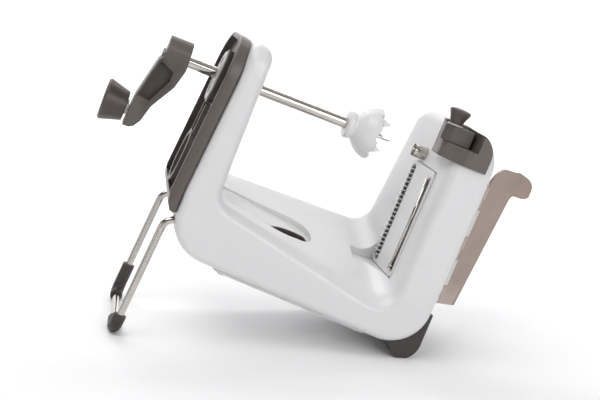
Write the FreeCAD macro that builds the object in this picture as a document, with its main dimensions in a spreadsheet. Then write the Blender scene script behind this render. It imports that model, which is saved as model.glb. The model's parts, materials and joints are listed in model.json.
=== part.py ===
import FreeCAD, Part
import math
import os
import Sketcher

# Crank-driven apple peeler and corer: a U-shaped white housing with a sliding, turning
# spindle in the crank tower and a blade cassette in the blade tower.  Everything is drawn
# in the machine's own frame: X along the spindle towards the blades, Y away from the
# working side, Z up the towers, origin on the spindle axis at the back of the fork.
# A last placement tilts the machine nose down onto its wire stand and rubber foot.

V = FreeCAD.Vector
X_AXIS, Y_AXIS, Z_AXIS = V(1, 0, 0), V(0, 1, 0), V(0, 0, 1)
UPRIGHT = FreeCAD.Rotation()

DRIVING = {
    # stance and general fits
    "tilt": 15, "wall": 3, "gap": 0.3,
    # housing, side view
    "left_top_x": -86.3, "left_x": -95, "left_knee_z": -75, "left_low_z": -117,
    "top_z": 31, "back_x": 96.5, "right_low_z": -130.5, "tower_face_x": -71,
    "blade_face_x": 66, "blade_face_far_low_x": 55.5, "blade_face_far_top_x": 63,
    "bridge_near_left_z": -75, "bridge_near_right_z": -106, "bridge_far_z": -69.5,
    "half_left": 50, "half_right": 57, "corner_big": 30,
    "rim_depth": 11, "rim_inset": 6, "arch_near": 16, "arch_far": 26,
    # spindle
    "shaft_dia": 8, "shaft_fit": 0.06, "shaft_left_x": -131, "shaft_right_x": 12,
    "collar_dia": 20, "rim_dia": 38, "cup_length": 23, "prong_tip_x": 32,
    # crank
    "hub_right_x": -117, "crank_drop": 43.4, "arm_width": 21,
    "knob_big_dia": 29, "knob_small_dia": 20.6, "knob_left_x": -163.5,
    "knob_right_x": -147.5, "axle_dia": 5,
    # crank side cover
    "cover_thick": 7.8, "cover_half": 47, "cover_slant": 4.65, "cover_face_x": -96.86,
    "recess_depth": 4.5,
    # blade cassette
    "cassette_turn": 5, "panel_x": 61.7, "panel_y": -12.5, "panel_width": 43, "panel_thick": 4.5,
    "panel_top_z": -7, "panel_low_z": -88, "tube_dia": 9.4, "tube_bore": 8, "tube_left_x": 54,
    # wire stand
    "wire_dia": 5, "pivot_x": -80, "pivot_z": -98, "leg_top_x": -99, "leg_x": -105, "leg_y": 40,
    "wire_bend": 8, "sleeve_dia": 8.8, "rear_thick": 1.6,
    # foot, latch, guard flap
    "foot_half": 50, "foot_low_x": 92, "foot_low_z": -135,
    "latch_x": 61, "latch_y": -41, "latch_floor_z": 17,
    "flap_x": 101.75, "flap_y": -36, "flap_turn": 33, "flap_low_z": -93, "flap_thick": 2,
}

os.makedirs("parts", exist_ok=True)
doc = FreeCAD.newDocument("apple_peeler_corer")
sheet = doc.addObject("Spreadsheet::Sheet", "dims")
for row, (alias, number) in enumerate(DRIVING.items(), start=1):
    sheet.set(f"A{row}", alias)
    sheet.set(f"B{row}", str(number))
    sheet.setAlias(f"B{row}", alias)
probe = doc.addObject("App::FeaturePython", "probe")
doc.recompute()
nodes = {}


def val(expression):
    """Number that a sheet expression stands for."""
    if isinstance(expression, (int, float)):
        return float(expression)
    result = probe.evalExpression(expression)
    return float(getattr(result, "Value", result))


def dim(alias):
    return val("dims." + alias)


def bind(obj, prop, setting):
    """Bind a property to a sheet expression, or set it plainly."""
    if isinstance(setting, str):
        obj.setExpression(prop, setting)
    else:
        setattr(obj, prop, setting)


def keep(name, obj, place=None):
    """Register a finished sub-part; place is where it sits in the machine's frame."""
    obj.Label = name
    nodes[name] = obj
    if place is not None:
        obj.Placement = place
    return obj


def at(x=0.0, y=0.0, z=0.0, rotation=UPRIGHT):
    return FreeCAD.Placement(V(x, y, z), rotation)


# ------------------------------------------------------------ PartDesign helpers

def new_body(name, place=None):
    return keep(name, doc.addObject("PartDesign::Body", name), place)


def sketch_on(owner, role, offset=0.0):
    """Empty sketch on one of the body's own origin planes, moved along its normal."""
    plane = [item for item in owner.Origin.OriginFeatures if item.Role == role][0]
    sketch = owner.newObject("Sketcher::SketchObject", owner.Name + "_sketch")
    sketch.AttachmentSupport = [(plane, "")]
    sketch.MapMode = "FlatFace"
    sketch.AttachmentOffset = at(z=val(offset))
    return sketch


def hold(sketch, kind, where, setting):
    """Dimension on a sketch, bound to the sheet when it is an expression."""
    number = sketch.addConstraint(Sketcher.Constraint(kind, *where, val(setting)))
    if isinstance(setting, str):
        sketch.setExpression(f"Constraints[{number}]", setting)


def polygon(sketch, corners):
    """Closed outline; each corner is a pair of numbers or sheet expressions."""
    points = [V(val(x), val(y), 0) for x, y in corners]
    base = sketch.GeometryCount
    count = len(points)
    for i, point in enumerate(points):
        sketch.addGeometry(Part.LineSegment(point, points[(i + 1) % count]), False)
    for i, (x, y) in enumerate(corners):
        sketch.addConstraint(Sketcher.Constraint("Coincident", base + i, 2, base + (i + 1) % count, 1))
        hold(sketch, "DistanceX", (-1, 1, base + i, 1), x)
        hold(sketch, "DistanceY", (-1, 1, base + i, 1), y)
    return sketch


def ring(sketch, x, y, *diameters):
    """Concentric circles."""
    for diameter in diameters:
        centre = V(val(x), val(y), 0)
        index = sketch.addGeometry(Part.Circle(centre, Z_AXIS, val(diameter) / 2), False)
        hold(sketch, "DistanceX", (-1, 1, index, 3), x)
        hold(sketch, "DistanceY", (-1, 1, index, 3), y)
        hold(sketch, "Diameter", (index,), diameter)
    return sketch


def stadium(sketch, start, end, width):
    """Round-ended slot outline between two centres."""
    a, b = V(*start, 0), V(*end, 0)
    radius = width / 2
    along = (b - a).normalize()
    side = V(-along.y, along.x, 0) * radius
    for curve in (Part.LineSegment(a + side, b + side),
                  Part.Arc(b + side, b + along * radius, b - side),
                  Part.LineSegment(b - side, a - side),
                  Part.Arc(a - side, a - along * radius, a + side)):
        index = sketch.addGeometry(curve, False)
        sketch.addConstraint(Sketcher.Constraint("Block", index))
    return sketch


def feature(owner, kind, profile, **settings):
    """Feature made from a sketch, with its settings bound to the sheet."""
    item = owner.newObject("PartDesign::" + kind, f"{owner.Name}_{kind}")
    item.Profile = profile
    for prop, setting in settings.items():
        bind(item, prop, setting)
    doc.recompute()
    return item


def pad(owner, sketch, length, **settings):
    return feature(owner, "Pad", sketch, Length=length, **settings)


def pocket(owner, sketch, length, **settings):
    """Pocket, which has to take material away."""
    before = owner.Shape.Volume
    item = feature(owner, "Pocket", sketch, Length=length, **settings)
    if item.Shape.isNull() or item.Shape.Volume > before - 0.01:
        raise RuntimeError(item.Name + " cuts nothing")
    return item


def turned(name, corners, place=None):
    """Body of revolution about its own X axis; corners are (x, radius)."""
    part = new_body(name, place)
    profile = polygon(sketch_on(part, "XY_Plane"), corners)
    feature(part, "Revolution", profile, ReferenceAxis=(profile, ["H_Axis"]), Angle=360)
    return part


def polar(part, item, profile, count):
    """Repeat a feature round the sketch's normal."""
    pattern = part.newObject("PartDesign::PolarPattern", part.Name + "_pattern")
    pattern.Originals = [item]
    pattern.Axis = (profile, ["N_Axis"])
    pattern.Angle = 360
    pattern.Occurrences = count
    part.Tip = pattern
    doc.recompute()
    return pattern


def soften(part, kind, size, test):
    """Fillet or chamfer on every edge whose middle point and run pass the test."""
    names = []
    for i, edge in enumerate(part.Shape.Edges, start=1):
        middle = edge.valueAt((edge.FirstParameter + edge.LastParameter) / 2)
        run = edge.Vertexes[-1].Point - edge.Vertexes[0].Point
        if test(part.Placement.inverse().multVec(middle), part.Placement.Rotation.inverted().multVec(run)):
            names.append(f"Edge{i}")
    if not names:
        raise RuntimeError(f"{part.Name}: no edge for the {kind}")
    item = part.newObject("PartDesign::" + kind, f"{part.Name}_{kind}")
    item.Base = (item.BaseFeature, names)
    bind(item, "Radius" if kind == "Fillet" else "Size", size)
    doc.recompute()
    if item.Shape.isNull() or not item.Shape.isValid():
        raise RuntimeError(f"{part.Name}: {kind} failed on {len(names)} edges")
    return item


def runs(run, axis):
    """True when an edge runs along an axis."""
    return run.Length > 0.5 and abs(run.dot(axis)) > 0.95 * run.Length


def box(x1, x2, y1, y2, z1, z2):
    return Part.makeBox(x2 - x1, y2 - y1, z2 - z1, V(x1, y1, z1))


def rod(x1, x2, radius, y=0.0, z=0.0):
    return Part.makeCylinder(radius, x2 - x1, V(x1, y, z), X_AXIS)


def coded(name, shape, place=None):
    """Sub-part whose shape is worked out in code."""
    item = doc.addObject("Part::Feature", name)
    item.Shape = shape.removeSplitter()
    return keep(name, item, place)


def screws(name, places, towards, head_dia, length):
    """Group of identical cross-head screws; places are the undersides of their heads."""
    links = []
    for i, place in enumerate(places):
        spot = FreeCAD.Placement(V(*place), FreeCAD.Rotation(Z_AXIS, towards))
        head = doc.addObject("Part::Cylinder", f"{name}_head{i}")
        head.Radius = head_dia / 2
        head.Height = head_dia * 0.3
        head.Placement = spot.multiply(at(z=-head_dia * 0.3))
        shank = doc.addObject("Part::Cylinder", f"{name}_shank{i}")
        shank.Radius = head_dia * 0.24
        shank.Height = length
        shank.Placement = spot
        whole = doc.addObject("Part::MultiFuse", f"{name}_blank{i}")
        whole.Shapes = [head, shank]
        arm_sizes = ((head_dia * 0.6, head_dia * 0.14), (head_dia * 0.14, head_dia * 0.6))
        arms = []
        for wide, deep in arm_sizes:
            arm = doc.addObject("Part::Box", f"{name}_arm{i}")
            arm.Length, arm.Width, arm.Height = wide, deep, head_dia * 0.16
            arm.Placement = spot.multiply(at(-wide / 2, -deep / 2, -head_dia * 0.31))
            arms.append(arm)
        cross = doc.addObject("Part::MultiFuse", f"{name}_cross{i}")
        cross.Shapes = arms
        screw = doc.addObject("Part::Cut", f"{name}_screw{i}")
        screw.Base = whole
        screw.Tool = cross
        links.append(screw)
    group = doc.addObject("Part::Compound", name)
    group.Links = links
    doc.recompute()
    return keep(name, group)


# ------------------------------------------------------------ housing

HALF_MIDDLE = (dim("half_left") * dim("back_x") - dim("half_right") * dim("left_x"))
HALF_MIDDLE /= dim("back_x") - dim("left_x")
FLARE = (dim("half_right") - dim("half_left")) / (dim("back_x") - dim("left_x")) / HALF_MIDDLE


def flared(x, y, z):
    """The sides draw in towards the crank end: y is the width where x is 0."""
    return V(x, y * (1 + FLARE * x), z)


def blend(near, far, share):
    return near + (far - near) * share


def side_profile(y, top, blade_extra=0.0):
    """Corners and corner radii of the U at one width; its inner sides fall to the near side."""
    share = (y + dim("half_left")) / (2 * dim("half_left"))
    face_low = blend(dim("blade_face_x"), dim("blade_face_far_low_x"), share) + blade_extra
    face_top = blend(dim("blade_face_x"), dim("blade_face_far_top_x"), share) + blade_extra
    bridge_left = blend(dim("bridge_near_left_z"), dim("bridge_far_z"), share)
    bridge_right = blend(dim("bridge_near_right_z"), dim("bridge_far_z"), share)
    big = dim("corner_big")
    return [
        (dim("left_top_x"), top, 6), (dim("left_x"), dim("left_knee_z"), 20),
        (dim("left_x"), dim("left_low_z"), big), (dim("back_x"), dim("right_low_z"), big),
        (dim("back_x"), top, 21), (face_top, top, 8), (face_low, bridge_right, -14),
        (dim("tower_face_x"), bridge_left, -12), (dim("tower_face_x"), top, 9),
    ]


def drawn_in(corners, inset):
    """Every side moved inwards; outside radii shrink and inside (negative) ones grow."""
    lines = []
    for i, (x1, z1, _) in enumerate(corners):
        x2, z2, _ = corners[(i + 1) % len(corners)]
        length = math.hypot(x2 - x1, z2 - z1)
        along = ((x2 - x1) / length, (z2 - z1) / length)
        lines.append((x1 - along[1] * inset, z1 + along[0] * inset, along))
    result = []
    for i, (_, _, radius) in enumerate(corners):
        x1, z1, a = lines[i - 1]
        x2, z2, b = lines[i]
        reach = ((x2 - x1) * b[1] - (z2 - z1) * b[0]) / (a[0] * b[1] - a[1] * b[0])
        smaller = radius - inset if radius < 0 else max(radius - 1.35 * inset, 1.2)
        result.append((x1 + a[0] * reach, z1 + a[1] * reach, smaller))
    return result


def rounded_wire(corners, y):
    """Closed wire through the corners at one width, each corner an arc."""
    count = len(corners)
    arcs = []
    for i, (x, z, radius) in enumerate(corners):
        corner = V(x, 0, z)
        before = (V(corners[i - 1][0], 0, corners[i - 1][1]) - corner).normalize()
        after = (V(corners[(i + 1) % count][0], 0, corners[(i + 1) % count][1]) - corner).normalize()
        half = before.getAngle(after) / 2
        reach = abs(radius) / math.tan(half)
        middle = corner + (before + after).normalize() * abs(radius) * (1 / math.sin(half) - 1)
        points = [corner + before * reach, middle, corner + after * reach]
        arcs.append([flared(p.x, y, p.z) for p in points])
    edges = []
    for i, points in enumerate(arcs):
        edges.append(Part.Arc(*points).toShape())
        edges.append(Part.LineSegment(points[2], arcs[(i + 1) % count][0]).toShape())
    return Part.Wire(edges)


def arched_top(y):
    """Top of the towers, which rounds off towards both sides."""
    radius = dim("arch_near") if y < 0 else dim("arch_far")
    past = abs(y) - (HALF_MIDDLE - radius)
    return dim("top_z") - (radius - math.sqrt(radius ** 2 - past ** 2)) * 0.8 if past > 0 else dim("top_z")


def rim_sections(side, start):
    """Sections from the side face, through its rounded rim, to width start."""
    steps = 7
    depth, inset = dim("rim_depth"), dim("rim_inset")
    sections = []
    for i in range(steps + 1):
        angle = math.pi / 2 * i / steps
        y = side * (HALF_MIDDLE - depth + depth * math.cos(angle))
        sections.append((y, inset * (1 - math.sin(angle))))
    last = abs(sections[-1][0])
    for i in range(1, 5):
        sections.append((side * (last + (start - last) * i / 4), 0.0))
    return [rounded_wire(drawn_in(side_profile(y, arched_top(y)), d), y) for y, d in sections]


def outer_body():
    near = rim_sections(-1, 34)
    far = rim_sections(1, 24)
    pieces = [Part.makeLoft(near, True, False), Part.makeLoft([near[-1], far[-1]], True, True),
              Part.makeLoft(far, True, False)]
    return pieces[0].fuse(pieces[1:])


def inner_space():
    """Hollow inside of the housing, with a thick wall left behind the cassette."""
    wall = dim("wall")
    sections = []
    for y, inset in ((-49, 5.2), (-45, wall), (45, wall), (49, 5.2)):
        top = arched_top(y) - (1.5 if abs(y) > 46 else 0)
        sections.append(rounded_wire(drawn_in(side_profile(y, top, 3.5), inset), y))
    return Part.makeLoft(sections, True, True)


def cassette_place():
    turn = FreeCAD.Rotation(Z_AXIS, dim("cassette_turn"))
    return at(dim("panel_x"), dim("panel_y"), 0, turn)


def latch_seat(grow=0.0):
    """Corner block of the blade tower that the latch bracket fills."""
    shape = box(57 - grow, 88, -60, -25 + grow, 6 - grow, 40)
    return shape


def grip_slot(grow=0.0, drop=0.0):
    """Cutter for the finger grip: round ended in plan, with a floor that falls to the blade end."""
    radius = 15.5 + grow
    start, end = V(-56, -15, 0), V(-10, -11.5, 0)
    along = (end - start).normalize()
    side = V(-along.y, along.x, 0) * radius
    edges = [Part.LineSegment(start + side, end + side).toShape(),
             Part.Arc(end + side, end + along * radius, end - side).toShape(),
             Part.LineSegment(end - side, start - side).toShape(),
             Part.Arc(start - side, start - along * radius, start + side).toShape()]
    prism = Part.Face(Part.Wire(edges)).extrude(V(0, 0, 80))
    prism.translate(V(0, 0, -120))
    below = Part.makeBox(400, 400, 100, V(-200, -200, -100))
    below.Placement = at(-56, -15, -77 - drop, FreeCAD.Rotation(Z_AXIS, V(0.167, -0.16, 1)))
    return prism.cut(below)


def drain_slot(inset=0.0):
    """Half-moon opening at the low end of the finger grip, as a tall prism."""
    a = V(-33 + 3 * inset, -31 + inset, 0)
    b = V(-inset, -10 - inset, 0)
    c = V(0.5 - inset, -21.5 + inset, 0)
    edges = [Part.Arc(a, V(-15, -14 - inset, 0), b).toShape(),
             Part.Arc(b, V(2.6 - inset, -16, 0), c).toShape(),
             Part.Arc(c, V(-14, -29.4 + inset, 0), a).toShape()]
    prism = Part.Face(Part.Wire(edges)).extrude(V(0, 0, 60))
    prism.translate(V(0, 0, -112))
    return prism


def main_housing():
    wall = dim("wall")
    shell = outer_body()
    place = cassette_place()
    half = dim("panel_width") / 2 + dim("gap")
    low, top = dim("panel_low_z") - dim("gap"), dim("panel_top_z") + dim("gap")
    recess = box(-20, dim("panel_thick"), -half, half, low, top)
    backing = box(-24, dim("panel_thick") + wall, -half - wall, half + wall, low - wall, top + wall)
    backing.Placement = place
    shell = shell.cut(inner_space().cut(grip_slot(wall, wall)).cut(backing))
    shell = shell.cut(grip_slot())
    shell = shell.cut(drain_slot())
    # openings that the covers close
    shell = shell.cut(box(-120, -82, -36, 36, -84, 17))
    shell = shell.cut(box(90, 120, -44, 44, -90, -4))
    shell = shell.cut(box(-52, 58, -38, 38, -140, -116))
    # spindle bore, cassette recess and window, tube bore
    shell = shell.cut(rod(-90, -60, 6.5))
    window = box(-20, 20, -half + 4, half - 4, dim("panel_low_z") + 5, dim("panel_top_z") - 5)
    for cutter in (recess, window):
        cutter.Placement = place
        shell = shell.cut(cutter)
    shell = shell.cut(rod(50, 120, dim("tube_dia") / 2 + 0.1))
    shell = shell.cut(latch_seat())
    # slots in the low corner through which the wire stand swings
    for side in (-1, 1):
        y = side * dim("leg_y")
        shell = shell.cut(box(-120, dim("pivot_x") + 4, y - 3.3, y + 3.3, -140, dim("pivot_z") + 4))
        shell = shell.cut(box(dim("pivot_x"), -54, y - 3.3, y + 3.3, -140, -112))
    solids = sorted(shell.Solids, key=lambda solid: solid.Volume)
    print("housing solids", [round(solid.Volume) for solid in solids])
    return coded("main_housing", solids[-1])


def cover_place():
    """Frame of the crank side cover: its outer face is the YZ plane, and X goes into the housing."""
    return at(dim("cover_face_x"), 0, 0, FreeCAD.Rotation(Y_AXIS, dim("cover_slant")))


def face_loop(sketch, half, low, top, radius):
    """Outline in Y and Z with square lower corners and rounded upper ones."""
    shift = radius * (1 - math.sqrt(0.5))
    corner = V(half, top, 0)
    points = [V(half, top - radius, 0), corner - V(shift, shift, 0), V(half - radius, top, 0)]
    mirrored = [V(-p.x, p.y, 0) for p in reversed(points)]
    for curve in (Part.Arc(*points), Part.LineSegment(points[2], mirrored[0]), Part.Arc(*mirrored),
                  Part.LineSegment(mirrored[2], V(-half, low, 0)),
                  Part.LineSegment(V(-half, low, 0), V(half, low, 0)),
                  Part.LineSegment(V(half, low, 0), points[0])):
        index = sketch.addGeometry(curve, False)
        sketch.addConstraint(Sketcher.Constraint("Block", index))
    return sketch


def crank_side_cover():
    """Plate with a raised rim round a recess, and an oval island that carries the spindle's bush."""
    part = new_body("crank_side_cover", cover_place())
    profile = polygon(sketch_on(part, "XZ_Plane"), [
        ("dims.cover_thick", 30.5), (0, 30.5), (0, -79), (1.6, -86.5), (5.6, -92.5), (9, -93),
        (7.9, -77)])
    pad(part, profile, "2 * dims.cover_half", Midplane=True)
    soften(part, "Fillet", 27, lambda p, run: runs(run, X_AXIS) and p.z > 20)
    soften(part, "Fillet", 6, lambda p, run: runs(run, X_AXIS) and p.z < -88)
    soften(part, "Chamfer", 1, lambda p, run: abs(p.x) < 0.05 and p.z > -78.9)
    recess = face_loop(sketch_on(part, "YZ_Plane"), 43.8, -82, 27.3, 24)
    stadium(recess, (0, 4), (0, -7), 28)
    pocket(part, recess, "dims.recess_depth", Reversed=True)
    bore = ring(sketch_on(part, "YZ_Plane", -3), 0, 0, 15)
    pocket(part, bore, 20, Reversed=True)


def knob_nest():
    """Raised loop low on the cover that the folded knob rests in, with two rails up to the island."""
    floor = dim("recess_depth")
    outer = loop_prism(0, -58, -66, 15.5, 0.2, floor)
    solid = outer.cut(loop_prism(0, -58, -66, 12.3, -1, floor + 1))
    for side in (-1, 1):
        low, high = sorted((side * 6, side * 8.6))
        solid = solid.fuse(box(0.8, floor, low, high, -45, -22))
    return coded("knob_nest", solid, cover_place())


def loop_prism(y, top, low, radius, x1, x2):
    """Round-ended prism along X between two heights."""
    ends = [rod(x1, x2, radius, y, z) for z in (top, low)]
    return ends[0].fuse([ends[1], box(x1, x2, y - radius, y + radius, low, top)])


def flat_covers():
    """Rear cover of the blade tower and the cover under the bridge."""
    rear = new_body("rear_cover")
    face = polygon(sketch_on(rear, "YZ_Plane", "dims.back_x + 0.05"), [(-47, -99), (47, -99), (47, 4), (-47, 4)])
    pad(rear, face, "dims.rear_thick")
    soften(rear, "Fillet", 12, lambda p, run: runs(run, X_AXIS))
    soften(rear, "Fillet", 0.7, lambda p, run: p.x > dim("back_x") + dim("rear_thick"))
    bore = ring(sketch_on(rear, "YZ_Plane", 110), 0, 0, 11)
    pocket(rear, bore, 20)
    low = new_body("base_cover", at(3, 0, -124.2, FreeCAD.Rotation(Y_AXIS, 3.92)))
    plate = polygon(sketch_on(low, "XY_Plane"), [(-60, -42), (60, -42), (60, 42), (-60, 42)])
    pad(low, plate, 2.2, Reversed=True)
    soften(low, "Fillet", 8, lambda p, run: runs(run, Z_AXIS))
    soften(low, "Fillet", 0.8, lambda p, run: p.z < -2)


def drain_insert():
    """Dark tray that lines the opening in the finger grip."""
    below = grip_slot(40, 0)
    above_floor = grip_slot(40, 8)
    lining = drain_slot(0.08).cut(drain_slot(1.1)).cut(below).common(above_floor)
    bottom = drain_slot(0.08).cut(grip_slot(40, 6.5)).common(above_floor)
    return coded("drain_insert", lining.fuse(bottom))


def bushes():
    fit = "dims.shaft_dia / 2 + dims.shaft_fit"
    plate = loop_prism(0, 4, -7, 12.4, -1, 0)
    plate.Placement = cover_place()
    sleeve = rod(-98.6, -88.7, 7.2)
    bore = rod(-110, -80, dim("shaft_dia") / 2 + dim("shaft_fit"))
    lip = loop_prism(0, 2, -5, 10.4, -2, -0.4)
    lip.Placement = cover_place()
    coded("cover_bush", plate.cut(lip).fuse(sleeve.common(box(-98, -80, -9, 9, -9, 9))).cut(bore))
    turned("tower_bush", [(-78, fit), (-70.2, fit), (-70.2, 8), (-71, 8), (-71, 6.4), (-78, 6.4)])
    turned("guide_sleeve", [(-88.2, fit), (-78.6, fit), (-78.6, 7.5), (-80, 7.5), (-81, 6.4),
                            (-86, 6.4), (-87, 7.5), (-88.2, 7.5)])


def spindle():
    turned("drive_shaft", [("dims.shaft_left_x", 0), ("dims.shaft_right_x", 0),
                           ("dims.shaft_right_x", "dims.shaft_dia / 2"),
                           ("dims.shaft_left_x", "dims.shaft_dia / 2")])
    rim = "dims.rim_dia / 2"
    cup = turned("fork_cup", [
        (0.2, 4), (0.2, 9.1), (1, "dims.collar_dia / 2"), (3.9, "dims.collar_dia / 2"), (4.9, 9.3),
        (6.4, 9.2), (7.6, 10.4), (9.6, 12.9), (12, 15.2), (14.6, 17), (17.4, 18.3), (20, rim), (21.4, 18.9),
        (22, 18.2), (21.6, 17.2), (19, 15.8), (14, 12.6), (12, 10.5), (12, 4)])
    notch = polygon(sketch_on(cup, "YZ_Plane", "dims.cup_length"),
                    [(-1.6, 10), (1.6, 10), (3, 22), (-3, 22)])
    cut = pocket(cup, notch, 3)
    polar(cup, cut, notch, 8)
    # stamped steel star: a disc with four pointed prongs
    star = turned("fork_prongs", [(12.05, 4.05), (12.05, 8), (13.3, 8), (13.3, 4.05)])
    prong = polygon(sketch_on(star, "XY_Plane"), [
        (12.05, 6.5), (14, 6), (24.5, 5.6), ("dims.prong_tip_x", 10), (24.5, 13), (16, 11.6), (12.05, 9.6)])
    blade = pad(star, prong, 1.2, Midplane=True)
    pattern = star.newObject("PartDesign::PolarPattern", "prong_pattern")
    pattern.Originals = [blade]
    pattern.Axis = (prong, ["H_Axis"])
    pattern.Angle = 360
    pattern.Occurrences = 4
    star.Tip = pattern
    doc.recompute()
    turned("shaft_end_nut", [(12.02, 0), (12.02, 3.8), (13.6, 3.8), (13.6, 5.8), (16.4, 5.8), (17.6, 4), (17.6, 0)])


def crank():
    """Cranked arm: hub on the spindle, slanted web with rib edges, pad for the knob."""
    arm = new_body("crank_arm")
    profile = polygon(sketch_on(arm, "XZ_Plane"), [
        (-135, 13), ("dims.hub_right_x - 2", 13), ("dims.hub_right_x - 1.5", -6), (-122, -19),
        (-132, -36), (-135.4, -48), (-138.6, -52.8), (-141.5, -54.5), (-146, -54.5), (-144.5, -33),
        (-138, -5), (-135, 0)])
    pad(arm, profile, "dims.arm_width", Midplane=True)
    soften(arm, "Fillet", 9.5, lambda p, run: abs(run.y) < 1 and abs(run.x) > 5 and abs(run.z) < 2 and (
        p.z > 12.9 or p.z < -54))
    soften(arm, "Fillet", 5, lambda p, run: runs(run, Y_AXIS) and p.x > -132 and -40 < p.z < -4)
    web = [(-136, -5), (-126.2, -9.5), (-126.4, -16.5), (-135, -33), (-142.4, -31.5)]
    for side in (-1, 1):
        recess = polygon(sketch_on(arm, "XZ_Plane", side * dim("arm_width") / 2 + side), web)
        pocket(arm, recess, 6.5, Reversed=side < 0)
    bore = ring(sketch_on(arm, "YZ_Plane", -110), 0, 0, "dims.shaft_dia")
    pocket(arm, bore, -110 - dim("shaft_left_x"))
    eye = ring(sketch_on(arm, "YZ_Plane", -150), 0, "-dims.crank_drop", "dims.axle_dia")
    pocket(arm, eye, 30, Reversed=True)
    drop = at(z=-dim("crank_drop"))
    axle = "dims.axle_dia / 2"
    turned("knob_axle", [(-162.3, 0), (-134.2, 0), (-134.2, 3.6), (-135.6, 4.2), (-135.6, axle),
                         (-161.56, axle), (-161.56, 3.7), (-162.3, 3.7)], drop)
    turned("knob_washer", [(-147.3, "dims.axle_dia / 2 + 0.05"), (-146.1, "dims.axle_dia / 2 + 0.05"),
                           (-146.1, 5.5), (-147.3, 5.5)], drop)
    big, small = "dims.knob_big_dia / 2", "dims.knob_small_dia / 2"
    bore_radius = "dims.axle_dia / 2 + 0.06"
    knob = turned("crank_knob", [
        ("dims.knob_right_x", bore_radius), ("dims.knob_right_x", small),
        ("dims.knob_left_x + 1.5", big), ("dims.knob_left_x", "dims.knob_big_dia / 2 - 1"),
        ("dims.knob_left_x", 11.2), ("dims.knob_left_x + 2", 11), ("dims.knob_left_x + 2", bore_radius)], drop)
    soften(knob, "Fillet", 0.9, lambda p, run: abs(p.x - dim("knob_right_x")) < 0.1 and p.Length > 5)
    turned("knob_cap", [("dims.knob_left_x - 0.3", 0), ("dims.knob_left_x - 0.3", 9),
                        ("dims.knob_left_x + 0.6", 10.9), ("dims.knob_left_x + 1.95", 10.9),
                        ("dims.knob_left_x + 1.95", 4), ("dims.knob_left_x + 1", 4),
                        ("dims.knob_left_x + 1", 0)], drop)


def cassette():
    """White panel with a comb of small teeth on the far side and a long blade on the near side."""
    place = cassette_place()
    half = "dims.panel_width / 2"
    panel = new_body("blade_cassette", place)
    face = polygon(sketch_on(panel, "YZ_Plane"), [
        ("-" + half, "dims.panel_low_z"), (half, "dims.panel_low_z"),
        (half, "dims.panel_top_z"), ("-" + half, "dims.panel_top_z")])
    pad(panel, face, "dims.panel_thick")
    soften(panel, "Fillet", 4, lambda p, run: runs(run, X_AXIS))
    soften(panel, "Fillet", 0.8, lambda p, run: p.x < 0.1)
    slots = sketch_on(panel, "YZ_Plane", -5)
    stadium(slots, (-18, -82), (-18, -13), 3.2)
    stadium(slots, (15, -82), (15, -13), 7)
    pocket(panel, slots, 20, Reversed=True)
    return place


def julienne_comb(place):
    """Steel strip whose teeth stand across the slot under the tube."""
    teeth = 21
    pitch = 3.4
    comb = box(0.5, 1.6, 18.2, 20.6, -85, -10)
    for i in range(teeth):
        z = -81.5 + pitch * i
        corners = [(1.6, 20.5), (-2.2, 17.8), (-2.2, 12.5), (1.6, 11.6), (1.6, 20.5)]
        blade = Part.makePolygon([V(x, y, z) for x, y in corners])
        comb = comb.fuse(Part.Face(blade).extrude(V(0, 0, 0.7)))
    return coded("julienne_comb", comb, place)


def straight_blade(place):
    """Long blade that leans out over its slot, held by two rivets' worth of tab at each end."""
    blade = Part.makePolygon([V(0, -19, 0), V(-1.1, -19, 0), V(-2.6, -16.2, 0), V(-2.2, -15.9, 0),
                              V(-0.5, -18.2, 0), V(0, -18.2, 0), V(0, -19, 0)])
    solid = Part.Face(blade).extrude(V(0, 0, 72))
    solid.translate(V(0, 0, -83.5))
    for z in (-84.5, -12.5):
        tab = box(-1.1, 0, -19, -12.6, z, z + 3)
        solid = solid.fuse(tab)
    return coded("straight_blade", solid, place)


def tube():
    """Corer tube with a sharpened mouth, and the collar that holds it inside the tower."""
    outside, bore = "dims.tube_dia / 2", "dims.tube_bore / 2"
    mouth, tail = "dims.tube_left_x", "dims.back_x - 1"
    turned("corer_tube", [(mouth, bore + " + 0.35"), (mouth, bore + " + 0.4"), (mouth + " + 2", outside),
                          (tail, outside), (tail, bore), (mouth + " + 2", bore)])
    turned("tube_collar", [(70.5, outside), (74, outside), (74, 9), (70.5, 9)])


def rubber_foot():
    """Soft foot that hugs the low corner under the blade tower."""
    slope = math.tan(math.radians(dim("tilt")))
    low_x, low_z = dim("foot_low_x"), dim("foot_low_z")
    half = dim("foot_half")
    y = -half
    start, knee = V(60, y, -126.6), V(79.6, y, -132)
    sole_a, sole_b = V(low_x - 6, y, low_z - 6 * slope), V(low_x + 0.5, y, low_z + 0.5 * slope)
    back_low, back_top = V(98.7, y, -122), V(98.5, y, -99.4)
    edges = [Part.Arc(start, V(71, y, -127.4), knee).toShape(),
             Part.Arc(knee, V(82, y, -135.2), sole_a).toShape(),
             Part.LineSegment(sole_a, sole_b).toShape(),
             Part.Arc(sole_b, V(97.4, y, -128.8), back_low).toShape(),
             Part.LineSegment(back_low, back_top).toShape(),
             Part.LineSegment(back_top, V(80, y, -101.5)).toShape(),
             Part.LineSegment(V(80, y, -101.5), V(60, y, -118)).toShape(),
             Part.LineSegment(V(60, y, -118), start).toShape()]
    block = Part.Face(Part.Wire(edges)).extrude(V(0, 2 * half, 0))
    foot = block.cut(outer_body())
    solids = sorted(foot.Solids, key=lambda solid: solid.Volume)
    return coded("rubber_foot", solids[-1])


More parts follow.
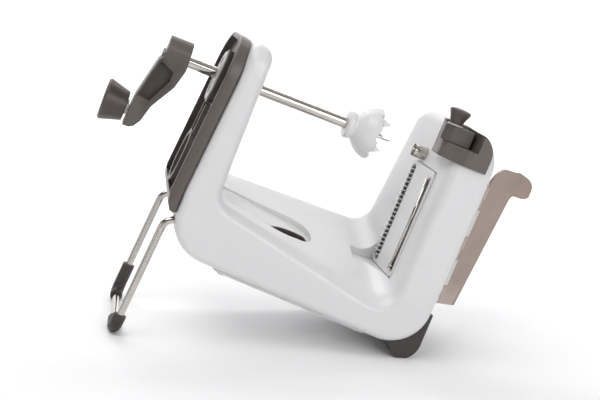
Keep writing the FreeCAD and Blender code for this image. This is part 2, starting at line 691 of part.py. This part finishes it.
def latch():
    """Corner bracket with a swivelling lever that holds the cassette down."""
    bracket = new_body("latch_bracket")
    block = polygon(sketch_on(bracket, "XY_Plane", 6), [
        (58, -25), (57, -44), (70, -59.2), (88, -59.2), (88, -25)])
    pad(bracket, block, 24.6)
    soften(bracket, "Fillet", 9, lambda p, run: runs(run, Z_AXIS) and p.y < -40 and p.x < 75)
    soften(bracket, "Fillet", 15, lambda p, run: runs(run, Y_AXIS) and p.x > 80 and p.z > 20)
    recess = polygon(sketch_on(bracket, "XY_Plane", 45), [
        (40, -31), (40, -75), (79, -75), (77, -50), (77, -31)])
    pocket(bracket, recess, "45 - dims.latch_floor_z")
    boss = ring(sketch_on(bracket, "XY_Plane", 45), "dims.latch_x", "dims.latch_y", 5.2)
    pocket(bracket, boss, 45)
    pivot = at(dim("latch_x"), dim("latch_y"), 0)
    lever = new_body("latch_lever", pivot)
    arm = stadium(sketch_on(lever, "XY_Plane", "dims.latch_floor_z + 0.3"), (0, 0), (9, 0), 13)
    pad(lever, arm, 11.2)
    square = polygon(sketch_on(lever, "XY_Plane", "dims.latch_floor_z + 0.3"), [
        (2, -6.5), (14, -6.5), (14, 6.5), (2, 6.5)])
    pad(lever, square, 11.2)
    soften(lever, "Fillet", 1, lambda p, run: p.z > 28 or (runs(run, Z_AXIS) and p.x > 13))
    stem = FreeCAD.Placement(V(dim("latch_x"), dim("latch_y"), 0), FreeCAD.Rotation(Y_AXIS, -90))
    turned("latch_knob", [(29.4, 0), (29.4, 4.2), (33, 5.4), (38.2, 7.6), (39.4, 7.2), (40.2, 4),
                          (40.4, 0)], stem)
    turned("latch_ring", [(28.52, 0), (28.52, 5.4), (29.38, 5.4), (29.38, 0)], stem)
    turned("latch_pivot", [(6.5, 0), (6.5, 2.55), (17.29, 2.55), (17.29, 0)], stem)


def guard_flap():
    """Plate hinged on the near back edge of the blade tower, with a curled finger lip."""
    turn = FreeCAD.Rotation(Z_AXIS, dim("flap_turn"))
    place = at(dim("flap_x"), dim("flap_y"), 0, turn)
    flap = new_body("guard_flap", place)
    plate = polygon(sketch_on(flap, "XZ_Plane"), [
        (1.9, "dims.flap_low_z"), (21.5, "dims.flap_low_z"), (32, -3.5), (43, -4), (46, -1),
        (45, 9.5), (38, 12.6), (12, 12.6), (1.9, 0)])
    pad(flap, plate, "dims.flap_thick", Midplane=True)
    soften(flap, "Fillet", 6, lambda p, run: runs(run, Y_AXIS) and p.z > -2 and p.x < 15)
    soften(flap, "Fillet", 2, lambda p, run: runs(run, Y_AXIS) and p.z > -10 and p.x > 41)
    for low in (-88, -50, -12):
        knuckle = ring(sketch_on(flap, "XY_Plane", low), 0, 0, 5.4, 3.1)
        pad(flap, knuckle, 9)
    for low in (-79, -41):
        window = polygon(sketch_on(flap, "XZ_Plane"), [(-4, low), (3.4, low), (3.4, low + 21), (-4, low + 21)])
        pocket(flap, window, 12, Midplane=True)
    lip = polygon(sketch_on(flap, "XY_Plane", -2), [(42, 0.5), (44.6, 0.5), (43.4, -8.5), (40.8, -8)])
    pad(flap, lip, 10.4)
    pin = FreeCAD.Placement(V(dim("flap_x"), dim("flap_y"), 0), FreeCAD.Rotation(Y_AXIS, -90))
    turned("flap_pin", [(-92, 0), (0, 0), (0, 1.5), (-92, 1.5)], pin)


def flap_brackets():
    """Two eyes on the rear cover that carry the flap's pin."""
    eyes = []
    x, y = dim("flap_x"), dim("flap_y")
    for low in (-78.5, -40.5):
        eye = Part.makeCylinder(2.7, 20, V(x, y, low))
        foot = box(dim("back_x") + dim("rear_thick") + 0.06, x, y - 2.2, y + 9, low, low + 20)
        hole = Part.makeCylinder(1.5, 40, V(x, y, low - 5))
        eyes.append(eye.fuse(foot).cut(hole))
    return coded("flap_brackets", Part.makeCompound(eyes))


# ------------------------------------------------------------ wire stand

def route(points, bends):
    """Wire path: straight runs joined by tangent arcs of the given radii."""
    points = [V(*point) for point in points]
    edges = []
    start = points[0]
    for i, radius in enumerate(bends, start=1):
        corner = points[i]
        back = (points[i - 1] - corner).normalize()
        ahead = (points[i + 1] - corner).normalize()
        half = back.getAngle(ahead) / 2
        reach = radius / math.tan(half)
        middle = corner + (back + ahead).normalize() * radius * (1 / math.sin(half) - 1)
        edges.append(Part.LineSegment(start, corner + back * reach).toShape())
        edges.append(Part.Arc(corner + back * reach, middle, corner + ahead * reach).toShape())
        start = corner + ahead * reach
    edges.append(Part.LineSegment(start, points[-1]).toShape())
    return Part.Wire(edges)


def tube_along(path, radius):
    first = path.Edges[0]
    where = first.valueAt(first.FirstParameter)
    normal = first.tangentAt(first.FirstParameter)
    section = Part.Wire(Part.Circle(where, normal, radius).toShape())
    return path.makePipeShell([section], True, True, 2)


def wire_stand():
    """Bent wire bail whose ends pivot inside the low corner, and its two rubber sleeves."""
    px, pz, leg_y = dim("pivot_x"), dim("pivot_z"), dim("leg_y")
    top_x, leg = dim("leg_top_x"), dim("leg_x")
    tilt = math.radians(dim("tilt"))
    sleeve_radius = dim("sleeve_dia") / 2
    low_z = dim("foot_low_z") + (leg - dim("foot_low_x")) * math.tan(tilt) + sleeve_radius / math.cos(tilt)
    bend = dim("wire_bend")
    half = [(px, leg_y - 10, pz), (px, leg_y, pz), (top_x, leg_y, pz), (leg, leg_y, low_z)]
    points = [(x, -y, z) for x, y, z in half] + half[::-1]
    wire = tube_along(route(points, [4, bend, bend, bend, bend, 4]), dim("wire_dia") / 2)
    coded("stand_wire", wire)
    up = V(top_x - leg, 0, pz - low_z).normalize()
    for side, name, above, across in ((-1, "stand_sleeve_near", 11, 20), (1, "stand_sleeve_far", 23, 10)):
        corner = V(leg, side * leg_y, low_z)
        path = route([corner + up * above, corner, corner - V(0, side * across, 0)], [bend])
        sleeve = tube_along(path, sleeve_radius).cut(tube_along(path, dim("wire_dia") / 2))
        coded(name, sleeve)


def pivot_blocks():
    """Blocks inside the housing that hold the wire's ends."""
    blocks = []
    x, z = dim("pivot_x"), dim("pivot_z")
    for side in (-1, 1):
        low, high = sorted((side * 27, side * 36))
        block = box(x - 5, x + 6, low, high, z - 6, z + 6)
        hole = Part.makeCylinder(dim("wire_dia") / 2 + 0.06, 8, V(x, side * 29.5, z), Y_AXIS * side)
        blocks.append(block.cut(hole))
    return coded("stand_pivot_blocks", Part.makeCompound(blocks))


def fasteners():
    cover = cover_place()
    on_floor = [V(dim("recess_depth"), y, z) for y, z in ((-38.5, 8), (38.5, 8), (-39, -70), (39, -70))]
    screws("crank_cover_screws", [cover.multVec(spot) for spot in on_floor], cover.Rotation.multVec(X_AXIS), 5, 6)
    rear = dim("back_x") + dim("rear_thick") + 0.06
    screws("rear_cover_screws", [(rear, y, z) for y in (-41, 41) for z in (-90, -4)], X_AXIS * -1, 5, 5)
    under = [(x, y, -126.35 - (x - 3) * 0.0685) for x in (-50, 54) for y in (-35, 35)]
    screws("base_cover_screws", under, Z_AXIS, 5, 5)
    screws("arm_screw", [(-135, 0, 0)], X_AXIS, 7, 3.9)


def stand_on_table():
    """Tilt the machine nose down, then put the middle of its footprint at the origin."""
    turn = at(rotation=FreeCAD.Rotation(Y_AXIS, dim("tilt")))
    for obj in nodes.values():
        obj.Placement = turn.multiply(obj.Placement)
    doc.recompute()
    whole = Part.makeCompound([obj.Shape for obj in nodes.values()]).optimalBoundingBox(False)
    shift = at(-whole.Center.x, -whole.Center.y, -whole.ZMin)
    for obj in nodes.values():
        obj.Placement = shift.multiply(obj.Placement)
    doc.recompute()
    print("machine origin", [round(c, 3) for c in shift.Base])


def write_parts():
    for item in doc.Objects:
        if "Invalid" in item.State or "Error" in item.State:
            raise RuntimeError(f"{item.Name} did not recompute: {item.State}")
    for name, obj in nodes.items():
        shape = obj.Shape
        if shape.isNull() or not shape.isValid() or not shape.Solids:
            raise RuntimeError(f"{name} has no valid solid")
        print(f"{name:22s} {len(shape.Solids)} {shape.Volume:10.1f}")
        shape.exportStep(f"parts/{name}.step")


main_housing()
crank_side_cover()
knob_nest()
flat_covers()
drain_insert()
bushes()
spindle()
crank()
seat = cassette()
julienne_comb(seat)
straight_blade(seat)
tube()
rubber_foot()
latch()
guard_flap()
flap_brackets()
wire_stand()
pivot_blocks()
fasteners()
stand_on_table()
write_parts()
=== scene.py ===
import json
import math

import bmesh
import bpy
from mathutils import Matrix, Vector


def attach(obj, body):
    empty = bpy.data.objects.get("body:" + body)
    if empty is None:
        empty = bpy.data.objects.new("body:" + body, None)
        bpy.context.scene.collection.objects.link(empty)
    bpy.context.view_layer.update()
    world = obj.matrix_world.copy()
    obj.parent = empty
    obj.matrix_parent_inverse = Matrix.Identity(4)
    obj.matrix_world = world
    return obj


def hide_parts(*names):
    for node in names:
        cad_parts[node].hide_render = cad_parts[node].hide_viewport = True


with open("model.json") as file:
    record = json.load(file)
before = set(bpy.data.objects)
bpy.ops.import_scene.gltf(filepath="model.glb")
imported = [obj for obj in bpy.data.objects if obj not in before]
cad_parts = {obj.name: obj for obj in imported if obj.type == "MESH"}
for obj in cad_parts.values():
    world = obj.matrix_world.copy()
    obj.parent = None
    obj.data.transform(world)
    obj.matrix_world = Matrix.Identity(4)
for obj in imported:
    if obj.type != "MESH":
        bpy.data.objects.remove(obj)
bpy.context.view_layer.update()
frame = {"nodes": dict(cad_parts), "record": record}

# ---------------------------------------------------------------- frame of the machine, in millimetres
# The spindle axis is the machine's X axis, Y is across it and Z is square to both.
# The machine stands nose down by TILT. Hinge and cassette are (x, y, z, turn round Z in degrees).
TILT = math.radians(15)
MACHINE = Matrix.Translation((0.016284, 0.00121, 0.154211)) @ Matrix.Rotation(TILT, 4, "Y")
FLAP_HINGE = (101.75, -36, 0, 33)
CASSETTE = (61.7, -12.5, 0, 5)
FLAP_THICKNESS, FLAP_CURL_FROM, FLAP_CURL = 2, 33, 17


def at(x, y, z):
    """A point of the machine, given in millimetres, as a point in the row frame."""
    return MACHINE @ Vector((x / 1000, y / 1000, z / 1000))


# ---------------------------------------------------------------- materials
class Nodes:
    """A material's node tree, with short calls to add and link nodes."""

    def __init__(self, name):
        self.material = bpy.data.materials.new(name)
        self.material.use_nodes = True
        self.tree = self.material.node_tree
        self.shader = self.tree.nodes["Principled BSDF"]

    def add(self, kind, **values):
        node = self.tree.nodes.new(kind)
        for key, value in values.items():
            if key in node.inputs:
                node.inputs[key].default_value = value
            else:
                setattr(node, key, value)
        return node

    def link(self, output, target):
        self.tree.links.new(output, target)

    def place(self, stretch=(1, 1, 1)):
        """Object coordinates, stretched along the axes."""
        coordinates = self.add("ShaderNodeTexCoord")
        mapping = self.add("ShaderNodeMapping")
        mapping.inputs["Scale"].default_value = stretch
        self.link(coordinates.outputs["Object"], mapping.inputs["Vector"])
        return mapping.outputs["Vector"]

    def noise(self, scale, detail=3, stretch=(1, 1, 1)):
        node = self.add("ShaderNodeTexNoise", Scale=scale, Detail=detail)
        self.link(self.place(stretch), node.inputs["Vector"])
        return node.outputs["Fac"]

    def between(self, factor, low, high, a, b):
        """Linear from a to b while factor goes from low to high."""
        node = self.add("ShaderNodeMapRange")
        self.link(factor, node.inputs["Value"])
        for key, value in (("From Min", low), ("From Max", high), ("To Min", a), ("To Max", b)):
            node.inputs[key].default_value = value
        return node.outputs["Result"]

    def blend(self, factor, first, second):
        """Colour that goes from first to second with factor."""
        node = self.add("ShaderNodeMix", data_type="RGBA")
        self.link(factor, node.inputs["Factor"])
        for socket, value in ((node.inputs[6], first), (node.inputs[7], second)):
            if isinstance(value, tuple):
                socket.default_value = (*value, 1)
            else:
                self.link(value, socket)
        return node.outputs[2]

    def bump(self, height, distance, strength=0.4, rounding=0.0):
        """Surface relief, over edges that are rounded off by a radius in metres."""
        node = self.add("ShaderNodeBump", Strength=strength, Distance=distance)
        self.link(height, node.inputs["Height"])
        if rounding:
            bevel = self.add("ShaderNodeBevel", Radius=rounding, samples=8)
            self.link(bevel.outputs["Normal"], node.inputs["Normal"])
        self.link(node.outputs["Normal"], self.shader.inputs["Normal"])

    def set(self, **values):
        for key, value in values.items():
            self.shader.inputs[key.replace("_", " ")].default_value = value


def paint_edge_highlight(nodes, colour, highlight_colour, amount):
    """Painted highlight: paler colour along sharp convex edges, where mould edges catch the light."""
    geometry = nodes.add("ShaderNodeNewGeometry")
    # painted highlight: paler colour on convex edges, found by pointiness
    painted_highlight = nodes.between(geometry.outputs["Pointiness"], 0.52, 0.62, 0.0, amount)
    return nodes.blend(painted_highlight, colour, highlight_colour)


def moulded(name, base, shade, edge_highlight, rough, grain, coat=0.0, highlight_amount=0.5, rounding=0.0006):
    """Injection moulded plastic: faint mottle in colour and gloss, fine spark-eroded grain, and a painted highlight
    along sharp edges.
    """
    nodes = Nodes(name)
    colour = nodes.blend(nodes.between(nodes.noise(60), 0.35, 0.65, 0, 1), base, shade)
    if highlight_amount:
        # painted highlight along sharp convex edges
        colour = paint_edge_highlight(nodes, colour, edge_highlight, highlight_amount)
    nodes.link(colour, nodes.shader.inputs["Base Color"])
    gloss = nodes.between(nodes.noise(140), 0.3, 0.7, rough - 0.04, rough + 0.05)
    nodes.link(gloss, nodes.shader.inputs["Roughness"])
    nodes.bump(nodes.noise(2600, 2), grain, rounding=rounding)
    nodes.set(Coat_Weight=coat, Coat_Roughness=0.12)
    return nodes.material


def metal(name, base, shade, rough, stretch, scratch):
    """Steel with fine lines that follow its working direction."""
    nodes = Nodes(name)
    lines = nodes.noise(900, 2, stretch)
    colour = nodes.blend(nodes.between(lines, 0.35, 0.65, 0, 1), base, shade)
    nodes.link(colour, nodes.shader.inputs["Base Color"])
    nodes.link(nodes.between(lines, 0.3, 0.7, rough, rough + 0.1), nodes.shader.inputs["Roughness"])
    nodes.bump(lines, scratch, 0.3)
    nodes.set(Metallic=1.0)
    return nodes.material


# the third colour of each moulding is its painted edge highlight
finishes = {
    "white_gloss": moulded("white_moulding", (0.69, 0.685, 0.69), (0.68, 0.675, 0.682), (0.8, 0.8, 0.81),
                           0.32, 0.000002, 0.15, 0.0, 0.0012),
    "taupe_plastic": moulded("taupe_moulding", (0.064, 0.049, 0.044), (0.056, 0.043, 0.038), (0.17, 0.145, 0.13),
                             0.36, 0.00001, 0.0, 0.5),
    "beige_plastic": moulded("beige_moulding", (0.33, 0.25, 0.21), (0.3, 0.228, 0.19), (0.56, 0.49, 0.44),
                             0.34, 0.00001, 0.1, 0.6),
    "black_rubber": moulded("rubber", (0.03, 0.024, 0.022), (0.026, 0.021, 0.019), (0.08, 0.07, 0.065),
                            0.5, 0.00004, 0.0, 0.3),
    "pale_plastic": moulded("pale_moulding", (0.5, 0.49, 0.48), (0.46, 0.45, 0.44), (0.7, 0.69, 0.68),
                            0.38, 0.00002, 0.0, 0.5),
    "polished_steel": metal("polished_steel", (0.62, 0.585, 0.54), (0.5, 0.47, 0.435), 0.07, (0.02, 1, 1), 0.000002),
    "blade_steel": metal("blade_steel", (0.74, 0.73, 0.72), (0.64, 0.63, 0.62), 0.2, (1, 0.05, 1), 0.00001),
    "fastener_steel": metal("fastener_steel", (0.5, 0.5, 0.5), (0.42, 0.42, 0.42), 0.3, (1, 1, 1), 0.00001),
}
for subpart in frame["record"]["subparts"]:
    node = frame["nodes"][subpart["node"]]
    node.data.materials.clear()
    node.data.materials.append(finishes[subpart["material_slot"]])


def round_edges(name, width, angle=35):
    """Bevel the sharp edges of a sub-part; width in millimetres, angle in degrees."""
    bevel = frame["nodes"][name].modifiers.new("bevel", "BEVEL")
    bevel.width = width / 1000
    bevel.segments = 3
    bevel.limit_method = "ANGLE"
    bevel.angle_limit = math.radians(angle)
    bevel.harden_normals = True


for part_name, edge_width in (("crank_arm", 1.1), ("latch_lever", 0.8), ("latch_bracket", 0.8),
                              ("crank_side_cover", 0.5), ("knob_nest", 0.6), ("rubber_foot", 0.8),
                              ("blade_cassette", 0.3), ("cover_bush", 0.4)):
    round_edges(part_name, edge_width)

# ---------------------------------------------------------------- pieces with their own finer meshes
def new_piece(name, bm, place, body, slot, stands_for):
    """Object from a bmesh in millimetres; place takes it into the row frame."""
    bmesh.ops.recalc_face_normals(bm, faces=bm.faces)
    mesh = bpy.data.meshes.new(name)
    bm.to_mesh(mesh)
    bm.free()
    mesh.transform(Matrix.Scale(0.001, 4))
    mesh.materials.append(finishes[slot])
    obj = bpy.data.objects.new(name, mesh)
    obj.matrix_world = place
    bpy.context.scene.collection.objects.link(obj)
    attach(obj, body)
    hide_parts(*stands_for)
    return obj


def in_machine(x, y, z, turn):
    """Frame of a turned piece: its place in the machine in millimetres and its angle round Z."""
    place = Matrix.Translation((x / 1000, y / 1000, z / 1000))
    return MACHINE @ place @ Matrix.Rotation(math.radians(turn), 4, "Z")


def stepped(table, z):
    """Value at z in a table of (z, value) pairs, straight between them."""
    for (z1, a), (z2, b) in zip(table, table[1:]):
        if z <= z2:
            return a + (b - a) * (z - z1) / (z2 - z1)
    return table[-1][1]


def guard_flap():
    """Tapering plate whose top corner curls round into a finger lip, on hinge knuckles."""
    left = [(-93, 1.9), (-3, 1.9), (2, 2.6), (6, 4.6), (9.4, 7.6), (11.6, 11), (12.6, 15)]
    right = [(-93, 21.5), (-8, 31.3), (-5.4, 32.4), (-4.4, 34), (-4, 37), (-3.9, 41), (-3, 43),
             (-1, 44), (6, 43.8), (9, 42.8), (11, 41), (12.2, 38), (12.6, 33)]
    levels = sorted({z for z, _ in left} | {z for z, _ in right} | {-70, -45, -25})
    bm = bmesh.new()
    columns = 40
    rows = []
    for z in levels:
        a, b = stepped(left, z), stepped(right, z)
        row = []
        for i in range(columns + 1):
            u = a + (b - a) * i / columns
            past = max(0.0, u - FLAP_CURL_FROM)
            row.append(bm.verts.new((u, -past * past / FLAP_CURL, z)))
        rows.append(row)
    for low, high in zip(rows, rows[1:]):
        for i in range(columns):
            bm.faces.new((low[i], low[i + 1], high[i + 1], high[i]))
    hinge = in_machine(*FLAP_HINGE)
    flap = new_piece("flap_plate", bm, hinge, "flap", "beige_plastic", ["guard_flap"])
    for face in flap.data.polygons:
        face.use_smooth = True
    shell = flap.modifiers.new("thickness", "SOLIDIFY")
    shell.thickness = FLAP_THICKNESS / 1000
    shell.offset = 0
    rim = flap.modifiers.new("rim", "BEVEL")
    rim.width = 0.0005
    rim.segments = 3
    rim.limit_method = "ANGLE"
    knuckles = bmesh.new()
    for low in (-88, -50, -12):
        made = bmesh.ops.create_cone(knuckles, cap_ends=True, segments=32, radius1=2.7, radius2=2.7, depth=9)
        bmesh.ops.translate(knuckles, verts=made["verts"], vec=(0, 0, low + 4.5))
        web = bmesh.ops.create_cube(knuckles, size=1)
        bmesh.ops.scale(knuckles, verts=web["verts"], vec=(3, FLAP_THICKNESS, 9))
        bmesh.ops.translate(knuckles, verts=web["verts"], vec=(1.8, 0, low + 4.5))
    new_piece("flap_knuckles", knuckles, hinge, "flap", "beige_plastic", ["guard_flap"])


def straight_blade():
    """Rounded steel bar that stands off its slot, with a crimped clip at the low end."""
    bm = bmesh.new()
    turns = [math.pi * i / 10 for i in range(11)]
    back = [(-0.3 - 1.5 * math.sin(turn), -16.3 - 1.3 * math.cos(turn)) for turn in turns]
    profile = [(0.2, -17.6)] + back + [(0.2, -15)]
    ends = []
    for z in (-83.4, -13.2):
        ends.append([bm.verts.new((x, y, z)) for x, y in profile])
    count = len(profile)
    for i in range(count):
        j = (i + 1) % count
        bm.faces.new((ends[0][i], ends[0][j], ends[1][j], ends[1][i]))
    bm.faces.new(ends[0])
    bm.faces.new(ends[1])
    for z, size in ((-82.6, (2.6, 4.6, 1.0)), (-79.8, (2.4, 4.2, 0.7))):
        clip = bmesh.ops.create_cube(bm, size=1)
        bmesh.ops.scale(bm, verts=clip["verts"], vec=size)
        bmesh.ops.translate(bm, verts=clip["verts"], vec=(-0.8, -17, z))
    seat = in_machine(*CASSETTE)
    blade = new_piece("straight_blade_bar", bm, seat, "frame", "polished_steel", ["straight_blade"])
    for face in blade.data.polygons:
        face.use_smooth = len(face.vertices) == 4


guard_flap()
straight_blade()

# ---------------------------------------------------------------- floor, light and camera
def sweep():
    """Pale floor that curves up into a backdrop behind the object."""
    mesh = bpy.data.meshes.new("sweep")
    bm = bmesh.new()
    line = [(-2.5, 0.0), (1.6, 0.0)]
    for degrees in range(6, 91, 6):
        angle = math.radians(degrees)
        line.append((1.6 + math.sin(angle), 1 - math.cos(angle)))
    line += [(2.6, 4.0)]
    rows = [[bm.verts.new((x, y, z)) for x in (-5.0, 5.0)] for y, z in line]
    for low, high in zip(rows, rows[1:]):
        bm.faces.new((low[0], low[1], high[1], high[0]))
    bm.normal_update()
    bm.to_mesh(mesh)
    bm.free()
    mesh.shade_smooth()
    obj = bpy.data.objects.new("sweep", mesh)
    bpy.context.scene.collection.objects.link(obj)
    nodes = Nodes("sweep_paper")
    colour = nodes.blend(nodes.noise(3), (0.97, 0.97, 0.975), (0.95, 0.95, 0.955))
    nodes.link(colour, nodes.shader.inputs["Base Color"])
    nodes.set(Roughness=0.8)
    mesh.materials.append(nodes.material)


def area_light(name, place, aim, size, power):
    data = bpy.data.lights.new(name, "AREA")
    data.shape = "RECTANGLE"
    data.size, data.size_y = size
    data.energy = power
    obj = bpy.data.objects.new(name, data)
    obj.location = place
    obj.rotation_euler = (Vector(aim) - Vector(place)).to_track_quat("-Z", "Y").to_euler()
    bpy.context.scene.collection.objects.link(obj)


def sky(world):
    """Soft box surroundings: bright all round, with dark bands that give polished metal its streaks."""
    tree = world.node_tree
    background = tree.nodes["Background"]
    coordinates = tree.nodes.new("ShaderNodeTexCoord")
    split = tree.nodes.new("ShaderNodeSeparateXYZ")
    tree.links.new(coordinates.outputs["Generated"], split.inputs["Vector"])
    ramp = tree.nodes.new("ShaderNodeValToRGB")
    stops = ramp.color_ramp
    bands = ((0.0, 0.4), (0.48, 0.85), (0.66, 0.95), (0.7, 0.03), (0.84, 0.03), (0.9, 0.8), (1.0, 0.8))
    stops.elements[0].position, stops.elements[1].position = bands[0][0], bands[-1][0]
    for position, _ in bands[1:-1]:
        stops.elements.new(position)
    for element, (_, level) in zip(stops.elements, bands):
        element.color = (level * 0.97, level * 0.975, level, 1)
    half = tree.nodes.new("ShaderNodeMapRange")
    half.inputs["From Min"].default_value = -1
    tree.links.new(split.outputs["Z"], half.inputs["Value"])
    tree.links.new(half.outputs["Result"], ramp.inputs["Fac"])
    tree.links.new(ramp.outputs["Color"], background.inputs["Color"])
    background.inputs["Strength"].default_value = 0.62


def studio():
    world = bpy.data.worlds.new("studio")
    world.use_nodes = True
    sky(world)
    bpy.context.scene.world = world
    centre = (0, 0, 0.11)
    area_light("key", (-0.45, -0.35, 1.15), centre, (0.9, 0.7), 5.5)
    area_light("fill", (0.5, -1.1, 0.55), centre, (0.8, 0.7), 6)
    area_light("side", (-1.1, -0.45, 0.45), centre, (0.6, 0.7), 0.6)
    area_light("rim", (-0.4, 0.8, 0.9), centre, (0.9, 0.5), 2.5)
    area_light("backdrop", (0.3, 1.0, 1.6), (0.3, 2.3, 0.3), (2.0, 0.8), 40)
    bpy.context.scene.view_settings.view_transform = "Standard"


def photo_camera():
    """60 mm lens on the working side, a little above the spindle, rolled with the machine."""
    data = bpy.data.cameras.new("camera")
    data.lens, data.sensor_width = 60, 36
    obj = bpy.data.objects.new("camera", data)
    right = Vector((0.915, -0.151, 0.373))
    up = Vector((-0.334, 0.232, 0.913))
    back = Vector((-0.225, -0.961, 0.162))
    turn = Matrix((right, up, back)).transposed().to_4x4()
    obj.matrix_world = Matrix.Translation(at(-170.6, -688.2, 52.9)) @ MACHINE.to_3x3().to_4x4() @ turn
    data.clip_start, data.clip_end = 0.01, 30
    bpy.context.scene.collection.objects.link(obj)
    bpy.context.scene.camera = obj


sweep()
studio()
photo_camera()
